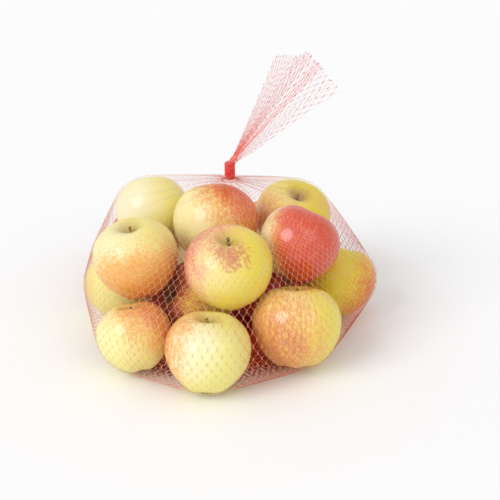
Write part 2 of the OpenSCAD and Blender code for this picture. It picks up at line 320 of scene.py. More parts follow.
class Graph:
    """The node tree of one material or of the world."""

    def __init__(self, owner: bpy.types.Material | bpy.types.World) -> None:
        """Empties the owner's nodes.

        Args:
            owner: the material or world that the nodes belong to.
        """
        self.owner = owner
        owner.use_nodes = True
        self.tree = owner.node_tree
        self.tree.nodes.clear()

    @staticmethod
    def coat(name: str) -> Graph:
        """Starts an empty material."""
        return Graph(bpy.data.materials.new(name))

    def node(self, kind: str, settings: dict[str, Any], inputs: dict[Any, Any],
             output: Any = 0) -> Value | None:
        """Adds one node.

        Args:
            kind: type of the node.
            settings: its properties, which are set first.
            inputs: values or links of its sockets, by name or place.
            output: name or place of the socket that is handed back, where the node has one.

        Returns:
            The chosen output.
        """
        item = self.tree.nodes.new(kind)
        for key, value in settings.items():
            setattr(item, key, value)
        for key, value in inputs.items():
            if isinstance(value, Value):
                self.tree.links.new(value.socket, item.inputs[key])
            else:
                item.inputs[key].default_value = value
        return None if output is None else Value(self, item.outputs[output])

    def math(self, operation: str, first: Operand, second: Operand) -> Value:
        """Adds a Math node."""
        return self.node("ShaderNodeMath", {"operation": operation}, {0: first, 1: second})

    def step(self, value: Value, low: float, high: float) -> Value:
        """Eases a value from 0 at low to 1 at high."""
        limits = {"Value": value, "From Min": low, "From Max": high}
        return self.node("ShaderNodeMapRange", {"interpolation_type": "SMOOTHSTEP"}, limits)

    def blend(self, share: Operand, first: Value | Colour, second: Value | Colour) -> Value:
        """Mixes two colours."""
        ends = [c if isinstance(c, Value) else linear(c) for c in (first, second)]
        return self.node("ShaderNodeMix", {"data_type": "RGBA"}, {0: share, 6: ends[0], 7: ends[1]}, 2)

    def attribute(self, name: str, output: str = "Vector") -> Value:
        """Reads a value that is kept at the points of the piece."""
        return self.node("ShaderNodeAttribute", {"attribute_name": name}, {}, output)

    def place(self) -> Value:
        """Reads the place in the frame, which is the Object coordinate of a piece at the origin."""
        return self.node("ShaderNodeTexCoord", {}, {}, "Object")

    def scaled(self, vector: Value, by: Direction) -> Value:
        """Multiplies a vector by three numbers."""
        return self.node("ShaderNodeVectorMath", {"operation": "MULTIPLY"}, {0: vector, 1: by})

    def along(self, vector: Value, way: Direction) -> Value:
        """Measures a vector along a direction."""
        return self.node("ShaderNodeVectorMath", {"operation": "DOT_PRODUCT"}, {0: vector, 1: way}, "Value")

    def noise(self, vector: Value, scale: float, detail: float) -> Value:
        """Adds soft noise, about 0 in the middle."""
        sockets = {"Vector": vector, "Scale": scale, "Detail": detail}
        return self.node("ShaderNodeTexNoise", {}, sockets, "Fac") - 0.5

    def spots(self, vector: Value, scale: float) -> Value:
        """Measures the distance to scattered points."""
        return self.node("ShaderNodeTexVoronoi", {}, {"Vector": vector, "Scale": scale}, "Distance")

    def bump(self, height: Value, strength: float, distance_mm: float) -> Value:
        """Turns a height into a normal."""
        sockets = {"Height": height, "Strength": strength, "Distance": distance_mm * MM}
        return self.node("ShaderNodeBump", {}, sockets)

    def finish(self, inputs: dict[str, Any]) -> bpy.types.Material:
        """Feeds a Principled shader and closes the material.

        Args:
            inputs: values or links of the shader's sockets.

        Returns:
            The finished material.
        """
        shader = self.node("ShaderNodeBsdfPrincipled", {}, inputs)
        self.node("ShaderNodeOutputMaterial", {}, {"Surface": shader}, None)
        return self.owner


@dataclass(frozen=True)
class PeelFinish:
    """Skin of one apple: a ground colour, warm cheeks and a red blush on the side that saw the sun.

    The cover is how far the colour goes round. Streak, mottle, painted sheen, russet and wax are shares.
    The directions are in the frame: the sun, the way to the key lamp, on whose side a pale painted sheen
    stands in for its highlight, and the kiss, a small second blush.
    """

    slot: Slot
    ground: Colour
    cheek: Colour
    blush: Colour
    sun: Direction
    cover: float
    streak: float = 0.5
    hollow: Colour = (150, 128, 60)
    russet: float = 0.6
    roughness: float = 0.5
    fleck: Colour = (250, 232, 186)
    # Way to the key lamp: skin that faces it is painted paler, a painted sheen.
    sheen_way: Direction = (-0.6, -0.6, 0.5)
    kiss: Direction | None = None
    wax: float = 0.5
    # Share of the painted sheen, a pale highlight painted where the skin faces the key lamp.
    painted_sheen: float = 0.6
    mottle: float = 0.3
    edge: float = 1.0

    def shade(self, sunny: Array) -> Array:
        """Works out the colour of the skin without its noise.

        Args:
            sunny: the sun's share plus the cover, at each point.

        Returns:
            Linear colours, as count x 3.
        """
        ground, cheek, blush = (np.array(linear(c)[:3]) for c in (self.ground, self.cheek, self.blush))
        warm = mix(ground, cheek, ease(sunny, *CHEEK_SUN)[:, None])
        return mix(warm, blush, OPACITY * ease(sunny, *BLUSH_SUN)[:, None])

    def material(self, name: str, sun: Direction, sheen_way: Direction,
                 kiss: Direction | None) -> bpy.types.Material:
        """Paints the skin.

        The blush follows the angle to the sun, broken up by streaks from stem to flower end and by blotches.

        Args:
            name: name of the material.
            sun: direction of the blush in the apple's own axes.
            sheen_way: way to the key lamp, along which the skin is painted paler as a painted sheen.
            kiss: direction of a small second blush, where there is one.

        Returns:
            The material.
        """
        g = Graph.coat(name)
        facing = g.attribute("facing")
        peel = g.attribute("peel")
        streaks = g.noise(g.scaled(peel, (6.0, 6.0, 1.0)), 2.6, 5.0)
        blotches = g.noise(facing, 2.2, 3.0)
        grain = g.noise(facing, 14.0, 4.0)
        fine = g.noise(facing, 48.0, 2.0)
        uneven = streaks * self.streak + blotches * 0.9 + grain * 1.2
        sunny = g.along(facing, sun) * self.edge + uneven + self.cover
        # Painted sheen: skin that faces the key lamp is painted paler, a painted highlight in the colour.
        painted_sheen = g.step(g.along(facing, sheen_way) + blotches * 0.4 + fine * 0.5, *PAINTED_SHEEN_RANGE)
        colour = g.blend(painted_sheen * self.painted_sheen, self.ground, PAINTED_SHEEN)
        colour = g.blend(g.step(sunny + fine * 0.9, *CHEEK_SUN) * OPACITY, colour, self.cheek)
        colour = g.blend(g.step(sunny + fine * 1.8, *BLUSH_SUN) * OPACITY, colour, self.blush)
        mottle = g.step(fine + grain + streaks * self.streak, *MOTTLE_RANGE) * g.step(sunny, *MOTTLE_SUN)
        colour = g.blend(mottle * self.mottle, colour, self.cheek)
        if kiss is not None:
            patch = g.step(g.along(facing, kiss) + uneven * 0.25 + fine * 0.3, *KISS_RANGE)
            colour = g.blend(patch * 0.75, colour, BLUSH)
        pores = 1.0 - g.step(g.spots(facing, 18.0) + fine * 0.15, *PORE_RANGE)
        colour = g.blend(pores * 0.4, colour, self.fleck)
        end = g.along(peel, (0.0, 0.0, 1.0))
        stem = 1.0 - g.step(end + grain * 0.06 + streaks * 0.06, *STEM_END)
        flower = g.step(end + grain * 0.04, *FLOWER_END)
        for dry in (stem, flower):
            colour = g.blend(dry * self.russet, colour, self.hollow)
        rough = grain * 0.2 + self.roughness
        normal = g.bump(fine, 0.14, 0.2)
        coat = {"Coat Weight": self.wax, "Coat Roughness": 0.18, "Coat IOR": 1.6}
        skin = {"Base Color": colour, "Roughness": rough, "Normal": normal, "Specular IOR Level": 0.2}
        return g.finish({**skin, **coat})


CREAM: Colour = (241, 232, 138)
YELLOW: Colour = (238, 220, 80)
PALE: Colour = (240, 228, 130)
GREENISH: Colour = (236, 224, 40)
PEACH: Colour = (242, 186, 96)
SALMON: Colour = (242, 184, 136)
ORANGE: Colour = (234, 154, 64)
ROSE: Colour = (222, 112, 86)
BLUSH: Colour = (202, 84, 84)
# Pale colour of the painted sheen, a highlight painted on the side of the apples that faces the key lamp.
PAINTED_SHEEN: Colour = (246, 240, 216)
BRICK: Colour = (216, 128, 78)
VERMILION: Colour = (222, 70, 46)
SCARLET: Colour = (202, 52, 38)
RUBY: Colour = (210, 32, 20)
CRIMSON: Colour = (140, 14, 12)

# The skins of the apples; the painted sheen share is a pale highlight painted on the side that faces the key
# lamp.
PEELS = [
    PeelFinish(Slot.YELLOW, GREENISH, ORANGE, SCARLET, (0.95, -0.1, -0.3), -0.55, painted_sheen=0.0),
    PeelFinish(Slot.ORANGE, YELLOW, PEACH, BRICK, (-0.55, -0.75, 0.0), -0.42, streak=1.2, wax=1.0),
    PeelFinish(Slot.YELLOW, CREAM, PEACH, ROSE, (-0.95, 0.15, 0.15), -0.6, painted_sheen=0.75),
    PeelFinish(Slot.YELLOW, CREAM, PEACH, ROSE, (0.5, -0.1, 0.85), -0.6, painted_sheen=0.35),
    PeelFinish(Slot.YELLOW, CREAM, PEACH, ROSE, (0.3, 0.9, 0.2), -0.3, painted_sheen=0.1),
    PeelFinish(Slot.ORANGE, YELLOW, ORANGE, SCARLET, (0.2, -0.6, 0.3), 0.1, wax=0.25),
    PeelFinish(Slot.ORANGE, YELLOW, ORANGE, SCARLET, (0.1, 0.9, 0.3), 0.2),
    PeelFinish(Slot.RED, YELLOW, BRICK, CRIMSON, (-0.95, 0.2, -0.2), 0.28, roughness=0.7, wax=0.0,
               painted_sheen=0.0),
    PeelFinish(Slot.RED, YELLOW, ROSE, SCARLET, (-0.5, 0.8, 0.3), 0.4),
    PeelFinish(Slot.ORANGE, YELLOW, ORANGE, SCARLET, (0.6, 0.7, 0.3), 0.1),
    PeelFinish(Slot.ORANGE, YELLOW, SALMON, BLUSH, (-0.8, 0.5, 0.1), -0.25, hollow=(186, 166, 44),
               kiss=(0.12, -0.68, 0.73), painted_sheen=0.45),
    PeelFinish(Slot.RED, CREAM, ORANGE, RUBY, (0.9, -0.35, 0.25), 0.8, streak=0.9, wax=1.0, mottle=0.5,
               edge=2.6),
    PeelFinish(Slot.ORANGE, PALE, ORANGE, VERMILION, (0.8, 0.1, 0.6), -0.35, painted_sheen=0.4),
    PeelFinish(Slot.ORANGE, PALE, PEACH, ORANGE, (0.25, -0.66, -0.7), -0.2),
    PeelFinish(Slot.YELLOW, CREAM, PEACH, ROSE, (0.4, 0.8, -0.2), -0.5, painted_sheen=0.8),
    PeelFinish(Slot.YELLOW, GREENISH, PEACH, BRICK, (-0.7, -0.6, -0.1), -0.65, hollow=(140, 98, 40),
               russet=0.7, painted_sheen=0.4),
]


@dataclass(frozen=True)
class NetFinish:
    """Thin coloured plastic strands."""

    strand: Colour = (250, 202, 198)
    knot: Colour = (214, 88, 62)
    pleat: Colour = (226, 84, 48)
    roughness: float = 0.38

    def material(self, name: str) -> bpy.types.Material:
        """Colours the strands.

        A strand is clear enough to take the tint of the fruit that it clings to. It is deeper in colour
        where two strands are fused at a knot, and deepest where they lie in pleats.

        Args:
            name: name of the material.

        Returns:
            The material.
        """
        g = Graph.coat(name)
        uneven = g.noise(g.place(), 90.0, 2.0)
        knot = g.attribute("knot", "Fac")
        clear = g.blend(g.attribute("cling", "Fac"), self.strand, g.attribute("tint", "Color"))
        colour = g.blend(knot * 0.9 + uneven * 0.2, clear, self.knot)
        colour = g.blend(g.step(knot, 1.0, 2.0), colour, self.pleat)
        rough = uneven * 0.2 + self.roughness
        return g.finish({"Base Color": colour, "Roughness": rough, "Specular IOR Level": 0.2})


@dataclass(frozen=True)
class GlossFinish:
    """Gloss lacquer of a clip."""

    colour: Colour = (228, 40, 34)
    dull: Colour = (198, 24, 26)
    roughness: float = 0.16

    def material(self, name: str) -> bpy.types.Material:
        """Colours the band, with faint drawing lines round it.

        Args:
            name: name of the material.

        Returns:
            The material.
        """
        g = Graph.coat(name)
        lines = g.noise(g.scaled(g.place(), (40.0, 40.0, 900.0)), 4.0, 2.0)
        colour = g.blend(lines * 0.6 + 0.3, self.colour, self.dull)
        rough = lines * 0.12 + self.roughness
        normal = g.bump(lines, 0.15, 0.1)
        sockets = {"Base Color": colour, "Roughness": rough, "Normal": normal, "Coat Roughness": 0.08}
        return g.finish({**sockets, "Coat Weight": 0.6})


@dataclass(frozen=True)
class WoodyFinish:
    """Dry brown tissue of stems and flower ends."""

    light: Colour
    dark: Colour

    def material(self, name: str) -> bpy.types.Material:
        """Colours the tissue with fine fibres and dark flecks.

        Args:
            name: name of the material.

        Returns:
            The material.
        """
        g = Graph.coat(name)
        place = g.place()
        fibres = g.noise(place, 900.0, 4.0)
        flecks = g.noise(place, 260.0, 3.0)
        colour = g.blend(g.step(flecks, -0.15, 0.15), self.light, self.dark)
        colour = g.blend(g.step(fibres, 0.0, 0.25) * 0.4, colour, self.light)
        return g.finish({"Base Color": colour, "Roughness": 0.75, "Normal": g.bump(fibres, 0.5, 0.2)})


@dataclass
class Apple:
    """One apple of the heap, in its place."""

    number: int
    centre: Array
    core: Array
    radius: float
    swell: float = 3.0
    crown_drop: float = 1.5
    base_drop: float = 1.0
    hollow_depth: float = 12.0
    hollow_angle: float = 18.0
    basin_depth: float = 6.5
    basin_angle: float = 15.0
    rib_depth: float = 0.55
    side_depth: float = 0.6
    rim_depth: float = 0.9
    stem_length: float = 6.4
    stem_root: float = 1.2
    stem_radius: float = 1.05
    stem_lean: float = 1.7
    sepals: int = 5
    threads: int = 7
    rows: int = 72
    columns: int = 96

    @property
    def mark(self) -> str:
        """The apple's number as its nodes write it."""
        return f"{self.number:02d}"

    @property
    def axes(self) -> Array:
        """Two directions across the core and the core itself, as rows."""
        across = unit(np.cross(UP, self.core))
        return np.stack([across, np.cross(self.core, across), self.core])

    def own(self, way: Direction | None) -> Direction | None:
        """Turns a direction of the frame into the apple's own axes."""
        return None if way is None else tuple(float(x) for x in self.axes @ unit(np.array(way)))

    def skin(self, angle: Array) -> Array:
        """Measures the skin from the middle.

        The radius, plus a swelling of the shoulders, less flat ends and less two Gaussian hollows.

        Args:
            angle: angles in degrees from the stem.

        Returns:
            The distance at each angle.
        """
        c = np.cos(np.radians(angle))
        s = np.sin(np.radians(angle))
        flat = np.where(angle < 90.0, self.crown_drop, self.base_drop) * c**4
        stem = self.hollow_depth * bell(angle, self.hollow_angle)
        flower = self.basin_depth * bell(180.0 - angle, self.basin_angle)
        return self.radius + self.swell * c * s**2 - flat - stem - flower

    def reach(self, ways: Array) -> Array:
        """Finds how far the outline of the apple goes from its middle.

        Args:
            ways: directions, as count x 3.

        Returns:
            The farthest distance along each direction.
        """
        angle = np.linspace(0.0, 180.0, 121)
        out = self.skin(angle) * np.sin(np.radians(angle))
        up = self.skin(angle) * np.cos(np.radians(angle))
        c = ways @ self.core
        s = np.sqrt(np.maximum(0.0, 1.0 - c**2))
        return (s[:, None] * out + c[:, None] * up).max(axis=1)

    def rays(self, points: Array) -> tuple[Array, Array, Array]:
        """Measures points from the middle.

        Args:
            points: the points, as count x 3.

        Returns:
            Their rays from the middle, the lengths of these and their angles in degrees from the stem.
        """
        ray = points - self.centre
        far = np.maximum(np.linalg.norm(ray, axis=1), 1e-6)
        return ray, far, np.degrees(np.arccos(np.clip(ray @ self.core / far, -1.0, 1.0)))

    def clear(self, points: Array) -> Array:
        """Distance of points from the skin, along their rays from the middle."""
        _, far, angle = self.rays(points)
        return far - self.skin(angle)

    def pushed(self, points: Array, room: float) -> Array:
        """Moves points that are too near the skin out along their rays, and straight over the hollows.

        Args:
            points: the points, as count x 3.
            room: least distance from the skin.

        Returns:
            The moved points.
        """
        ray, far, angle = self.rays(points)
        bridged = np.clip(angle, 1.6 * self.hollow_angle, 180.0 - 1.6 * self.basin_angle)
        need = self.skin(bridged) * np.cos(np.radians(angle - bridged)) + room
        return self.centre + ray * np.maximum(1.0, need / far)[:, None]

    def body(self) -> Surface:
        """The skin as a turned surface with slight ribs at the flower end and uneven shoulders.

        At angle f from the stem and turn t, the point is skin(f) less small waves in t, along the ray
        (f, t).

        Returns:
            The surface, with the values facing and peel.
        """
        angle = np.linspace(178.5, 2.0, self.rows)[:, None]
        turn = np.linspace(0.0, 2.0 * math.pi, self.columns, endpoint=False)[None, :]
        phase = self.number * GOLDEN_TURN
        ribs = self.rib_depth * (1.0 - np.cos(5.0 * turn + phase)) * ease(angle, 95.0, 150.0)
        side = self.side_depth * (1.0 - np.cos(turn - 2.0 * phase)) * np.sin(np.radians(angle)) ** 2
        uneven = 1.0 - np.cos(2.0 * turn + phase) * np.cos(turn)
        rim = self.rim_depth * uneven * bell(angle - 34.0, 20.0)
        far = self.skin(angle) - ribs - side - rim
        fan = np.radians(angle)
        facing = circle(ORIGIN, np.sin(fan), turn, np.cos(fan))
        surface = Surface.wrapped(self.centre + (facing * far[..., None]) @ self.axes)
        peel = circle(ORIGIN, 1.0, turn, angle / 180.0)
        surface.values = {"facing": facing.reshape(-1, 3), "peel": peel.reshape(-1, 3)}
        return surface

    def stem(self) -> Surface:
        """A bent, tapered stalk that widens to its cut end.

        The path rises along the core and leans by the square of its height; the radius is a waist
        between two ends.

        Returns:
            The surface.
        """
        t = np.linspace(0.0, 1.0, 14)
        floor = float(self.skin(np.array(4.0))) - self.stem_root
        lean = self.stem_lean * np.cos(self.number * 2.1)
        rise = floor + (self.stem_length + self.stem_root) * t
        path = np.stack([lean * t**2, 0.5 * np.sin(3.0 * t), rise], axis=-1)
        cut = 0.55 * ease(t, 0.72, 1.0) - 0.25 * ease(t, 0.93, 1.0)
        girth = self.stem_radius + 0.5 * (1.0 - t) ** 3 + cut
        path = self.centre + path @ self.axes
        return Surface.swept(path[None], girth, 0.92 * girth, self.axes[1], 10)

    def calyx(self) -> Surface:
        """Dry sepals that curl out of the basin, round a short tuft of threads.

        A sepal is a flat tube along an arc, with a half width of 0.18 + 0.85 (1 - t)^0.7.

        Returns:
            The surface.
        """
        floor = float(self.skin(np.array(175.0)))
        t = np.linspace(0.0, 1.0, 9)[None, :]
        turn = (2.0 * math.pi * np.arange(self.sepals) / self.sepals + self.number)[:, None]
        out = 0.7 + 2.3 * np.sin(1.5 * t)
        down = floor - 0.9 + 3.2 * t - 1.1 * t**2
        paths = self.centre + circle(ORIGIN, out, turn, -down) @ self.axes
        width = 0.18 + 0.85 * (1.0 - t) ** 0.7
        leaves = Surface.swept(paths, width, 0.28 * width, -self.core, 6)
        s = np.linspace(0.0, 1.0, 6)[None, :]
        twist = (2.0 * math.pi * np.arange(self.threads) / self.threads)[:, None]
        tuft = circle(ORIGIN, 0.7 * (1.0 - 0.3 * s), twist, 1.0 - floor - 2.6 * s)
        thin = 0.3 - 0.18 * s
        threads = Surface.swept(self.centre + tuft @ self.axes, thin, thin, self.axes[0], 4)
        return Surface.joined([leaves, threads])

    def build(self, finish: PeelFinish, stem: bpy.types.Material, calyx: bpy.types.Material) -> None:
        """Makes and dresses the apple, its stem and its flower end.

        Args:
            finish: skin of this apple.
            stem: material of the stem.
            calyx: material of the flower end.
        """
        # The blush, the painted sheen towards the key lamp and the kiss, turned into the apple's own axes.
        ways = [self.own(way) for way in (finish.sun, finish.sheen_way, finish.kiss)]
        peel = finish.material(f"peel_{self.mark}", *ways)
        pieces = [
            ("apple_body", self.body(), peel, finish.slot, "apple"),
            ("apple_stem", self.stem(), stem, Slot.STEM, "stem"),
            ("apple_calyx", self.calyx(), calyx, Slot.CALYX, "calyx"),
        ]
        for name, surface, material, slot, node in pieces:
            piece = surface.make(f"{name}_{self.mark}", material)
            hand_over(piece, f"fruit_{self.mark}", slot, f"{node}_{self.mark}")


@dataclass
class Lattice:
    """Knots of a tube of diamond mesh, as rows x columns x 3, with every other row set half a mesh round."""

    knots: Array
    sides: int = 3

    def beside(self) -> tuple[Array, Array]:
        """Finds what lies up and down from each knot: the middle of two knots in a row beside it.

        Returns:
            The places above and below, each as rows x columns x 3.
        """
        even = 0.5 * (self.knots + np.roll(self.knots, 1, axis=1))
        odd = 0.5 * (self.knots + np.roll(self.knots, -1, axis=1))
        rows = np.arange(len(self.knots))
        pair = np.where((rows % 2 == 1)[:, None, None], even, odd)
        above = np.concatenate([pair[1:], 2.0 * pair[-1:] - pair[-2:-1]])
        below = np.concatenate([2.0 * pair[:1] - pair[1:2], pair[:-1]])
        return above, below

    def strands(self, half_width: Any, half_thick: float, tones: tuple[Any, Any],
                rows: slice = slice(None), values: dict[str, Array] | None = None,
                node: float = 0.15) -> Surface:
        """Runs two zigzag strands through each column of knots, side by side where they are fused.

        A strand goes from knot to knot between two columns. At a knot it runs a short way along the column,
        moved to its own side by its half width, so two strands meet there without crossing.

        Args:
            half_width: half width of a strand, as one number or one for each row or knot.
            half_thick: largest half thickness of a strand.
            tones: how deep the colour is between the knots and at them, in the same form.
            rows: the rows that are used.
            values: other values to keep, as vectors at each knot.
            node: half length of a knot, as a share of the distance between rows.

        Returns:
            The strands as one surface, with the value knot and the other values at its points.
        """
        above, below = self.beside()
        sizes = [np.broadcast_to(value, self.knots.shape[:2]) for value in (half_width, *tones)]
        rise = 0.5 * (above - below)
        sideways = np.roll(self.knots, -1, axis=1) - np.roll(self.knots, 1, axis=1)
        out = unit(np.cross(sideways, rise))
        side = unit(np.cross(rise, out))
        count, columns = self.knots.shape[:2]
        parity = np.arange(count) % 2
        tubes = []
        for family in (1.0, -1.0):
            sign = family * np.where(parity == 0, 1.0, -1.0)
            shift = np.where(parity == 0, 0, 0 if family > 0 else -1)
            column = (np.arange(columns)[None, :] + shift[:, None]) % columns
            row = np.arange(count)[:, None]
            apart = sign[:, None] * sizes[0][row, column] * 0.85
            spot = self.knots[row, column] + side[row, column] * apart[..., None]
            step = rise[row, column] * node
            ends = np.stack([spot - step, spot + step], axis=1)[rows]
            path = ends.reshape(-1, columns, 3).transpose(1, 0, 2)
            up = np.repeat(out[row, column][rows], 2, axis=0).transpose(1, 0, 2)
            centres = self.woven(path)
            wide, pale, deep = (self.carried(size[row, column, None][rows])[..., 0] for size in sizes)
            fused = np.where(np.arange(centres.shape[1]) % 4 < 2, 1.0, 0.0)
            wide = wide * mix(0.65, 1.3, fused)
            thick = np.minimum(0.8 * wide, half_thick)
            tube = Surface.swept(centres, wide, thick, unit(self.woven(up)), self.sides)
            tube.values = {"knot": np.repeat(mix(pale, deep, fused).reshape(-1), self.sides)}
            for key, value in (values or {}).items():
                kept = self.carried(value[row, column][rows])
                tube.values[key] = np.repeat(kept.reshape(-1, kept.shape[-1]), self.sides, axis=0).squeeze()
            tubes.append(tube)
        return Surface.joined(tubes)

    def carried(self, value: Array) -> Array:
        """Spreads a vector at each knot, as rows x columns x size, along the strands."""
        return self.woven(np.repeat(value, 2, axis=0).transpose(1, 0, 2))

    @staticmethod
    def woven(ends: Array) -> Array:
        """Adds two points to each stretch between two knots, just inside its ends.

        Args:
            ends: both ends of each knot in turn, as strands x rings x size.

        Returns:
            The same with two more rings in each stretch.
        """
        count, rings, size = ends.shape
        blocks = np.empty((count, rings // 2, 4, size))
        start = ends[:, 1::2]
        goal = np.concatenate([ends[:, 2::2], ends[:, -1:]], axis=1)
        blocks[:, :, 0] = ends[:, 0::2]
        blocks[:, :, 1] = start
        blocks[:, :, 2] = mix(start, goal, 0.22)
        blocks[:, :, 3] = mix(start, goal, 0.78)
        return blocks.reshape(count, rings * 2, size)[:, :-2]


def hand_over(piece: bpy.types.Object, body: str, slot: Slot, *nodes: str) -> None:
    """Lets a piece ride on a body and take the place of CAD nodes.

    Args:
        piece: the finished object.
        body: name of the CAD body that it moves with.
        slot: the record's material slot; not used.
        nodes: names of the CAD nodes that it stands for.
    """
    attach(piece, body)
    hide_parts(*nodes)
    LOG.info("%s rides on %s and stands for %s", piece.name, body, ", ".join(nodes))


def bridge(piece: bpy.types.Object, bodies: tuple[str, str], ends: Array, slot: Slot,
           *nodes: str) -> None:
    """Sets a piece's place into its mesh and lets it take the place of CAD nodes.

    Args:
        piece: the finished object.
        bodies: the body at the start and the body at the end.
        ends: the points, in millimetres, at the two ends of the piece; not used.
        slot: the record's material slot; not used.
        nodes: names of the CAD nodes that it stands for.
    """
    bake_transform(piece)
    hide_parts(*nodes)
    LOG.info("%s bends between %s and %s", piece.name, *bodies)


@dataclass
class Plan:
    """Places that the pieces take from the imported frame."""

    frame: dict[str, Any]

    def joint(self, name: str) -> dict[str, Any]:
        """One joint of the record."""
        return next(j for j in self.frame["joints"] if j["name"] == name)

    def spot(self, name: str) -> Array:
        """Pivot of a joint in millimetres."""
        return np.array(self.joint(name)["pos_m"]) / MM

    def box(self, node: str) -> tuple[Array, Array]:
        """Lowest and highest corner of a CAD node in millimetres."""
        low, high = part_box(node)
        return np.array(low) / MM, np.array(high) / MM

    def apples(self) -> list[Apple]:
        """Reads the heap: places and cores from the joints, and radii from the waists of the CAD apples.

        Returns:
            The apples in the order of their numbers.
        """
        heap = []
        for number in range(1, len(PEELS) + 1):
            turn = f"turn_apple_{number:02d}"
            centre = self.spot(turn)
            core = unit(np.array(self.joint(turn)["axis"], float))
            mesh = self.frame["nodes"][f"apple_{number:02d}"].data
            flat = np.empty(len(mesh.vertices) * 3, np.float32)
            mesh.vertices.foreach_get("co", flat)
            ray = flat.reshape(-1, 3) / MM - centre
            height = ray @ core
            waist = np.linalg.norm(ray - height[:, None] * core, axis=1)[np.abs(height) < 1.0]
            heap.append(Apple(number, centre, core, float(waist.max())))
        return heap


@dataclass
class Bag:
    """The net round the heap, from the gathered base to the neck."""

    apples: list[Apple]
    neck: Array
    clip_low: float
    base: Array
    base_low: float
    columns: int = 128
    rows: int = 86
    half_width: float = 0.1
    half_thick: float = 0.1
    room: float = 0.8
    mouth: float = 4.2
    planes: int = 3000
    rounds: int = 2
    gather_rows: int = 4
    navel_rows: int = 4
    splits: tuple[int, int, int] = (22, 44, 64)
    ropes: int = 15
    least_crowd: float = 0.3
    free_gap: Span = (1.2, 4.5)
    floor_heights: Span = (1.0, 9.0)
    upper_heights: Span = (40.0, 90.0)
    pleat_reach: Span = (84.0, 118.0)
    neck_reach: Span = (6.0, 50.0)
    # Span in x over which free strands go from painted light on the left, towards the key lamp, to painted
    # shade on the right.
    lit_side: Span = (-110.0, 110.0)

    def tangents(self) -> tuple[Array, Array]:
        """Lays planes against the heap, the neck and the floor.

        Returns:
            Directions spread evenly over a ball, and how far the planes lie out along them.
        """
        i = np.arange(self.planes)
        z = 1.0 - (2.0 * i + 1.0) / self.planes
        r = np.sqrt(1.0 - z**2)
        ways = circle(ORIGIN, r, i * GOLDEN_TURN, z)
        reach = np.max([a.reach(ways) + ways @ a.centre for a in self.apples], axis=0) + self.room
        reach = np.maximum(reach, ways @ self.neck + self.mouth * r)
        return np.vstack([ways, [[0.0, 0.0, -1.0]]]), np.append(reach, -self.half_thick)

    def cast(self) -> Lattice:
        """Knots where rays from the middle of the heap leave the tangent planes round it.

        The rays follow a rectangle in radius and height: out along the floor, up the sides and in over
        the top.

        Returns:
            The knots of the whole net.
        """
        ways, reach = self.tangents()
        radius = max(np.linalg.norm(a.centre[:2]) + a.radius for a in self.apples)
        half = 0.5 * self.neck[2]
        inner = self.rows - self.gather_rows - self.navel_rows
        near, far = 22.0, 10.0
        legs = np.cumsum([0.0, radius - near, 2.0 * half, radius - far])
        low = np.array([*self.base[:2], half])
        high = np.array([*self.neck[:2], half])
        knots = np.empty((self.rows, self.columns, 3))
        turn = 2.0 * math.pi * staggered(self.rows, self.columns)
        for j, level in enumerate(np.linspace(0.0, 1.0, inner)):
            a = turn[j + self.navel_rows]
            wave = 0.008 * np.sin(3.0 * a + 1.0) + 0.005 * np.sin(8.0 * a + 2.0)
            s = level + wave * math.sin(math.pi * level)
            drawn = float(ease(np.array(level), 0.7, 0.96))
            a = a + 0.9 * drawn / self.ropes * np.sin(self.ropes * a + 2.0 * np.sin(2.0 * a))
            run = np.interp(s * legs[-1], legs, [near, radius, radius, far])
            rise = np.interp(s * legs[-1], legs, [-half, -half, half, half])
            ray = circle(ORIGIN, run, a, rise)
            start = mix(low, high, level)
            speed = ray @ ways.T
            room = reach - ways @ start
            time = np.where(speed > 1e-3, room / np.maximum(speed, 1e-3), np.inf).min(axis=1)
            knots[j + self.navel_rows] = start + ray * time[:, None]
        self.gather(knots, turn)
        return Lattice(knots)

    def gather(self, knots: Array, turn: Array) -> None:
        """Puts the first rows into the base clip and the last rows into the neck clip, as shrinking rings.

        Args:
            knots: the knots, which are changed.
            turn: angle of each knot round the bag.
        """
        first = [(2.7, self.base_low + 3.0), (2.8, self.base_low - 0.4), (5.0, self.base_low - 3.2),
                 (10.5, 1.6)]
        last = [(6.6, self.neck[2] - 0.5), (3.8, self.clip_low - 1.6), (2.8, self.clip_low),
                (2.7, self.clip_low + 3.0)]
        for j, (r, z) in enumerate(first):
            knots[j] = circle(self.base, r, turn[j], z)
        for j, (r, z) in enumerate(last, self.rows - len(last)):
            knots[j] = circle(self.neck, r, turn[j], z)

    def settle(self, lattice: Lattice) -> None:
        """Lets the net draw itself tight over the fruit.

        Each round moves every knot part of the way to the middle of its neighbours, then out of the apples
        and up to the floor.

        Args:
            lattice: the knots, which are moved.
        """
        free = slice(self.navel_rows, self.rows - self.gather_rows)
        for _ in range(self.rounds):
            above, below = lattice.beside()
            moved = mix(lattice.knots, 0.5 * (above + below), 0.45)[free].reshape(-1, 3)
            for apple in self.apples:
                near = np.linalg.norm(moved - apple.centre, axis=1) < apple.radius + 6.0
                moved[near] = apple.pushed(moved[near], self.room)
            moved[:, 2] = np.maximum(moved[:, 2], self.half_thick)
            lattice.knots[free] = moved.reshape(-1, self.columns, 3)

    def under(self, points: Array) -> tuple[Array, Array]:
        """Finds the skin below points of the net.

        Args:
            points: the points, as count x 3.

        Returns:
            Their distance from the nearest apple, and the colour of its skin there.
        """
        gaps = np.stack([a.clear(points) for a in self.apples])
        nearest = gaps.argmin(axis=0)
        colours = np.empty_like(points)
        for number, (apple, peel) in enumerate(zip(self.apples, PEELS)):
            mine = nearest == number
            facing = unit(points[mine] - apple.centre)
            colours[mine] = peel.shade(facing @ unit(np.array(peel.sun)) * peel.edge + peel.cover)
        return gaps.min(axis=0), colours

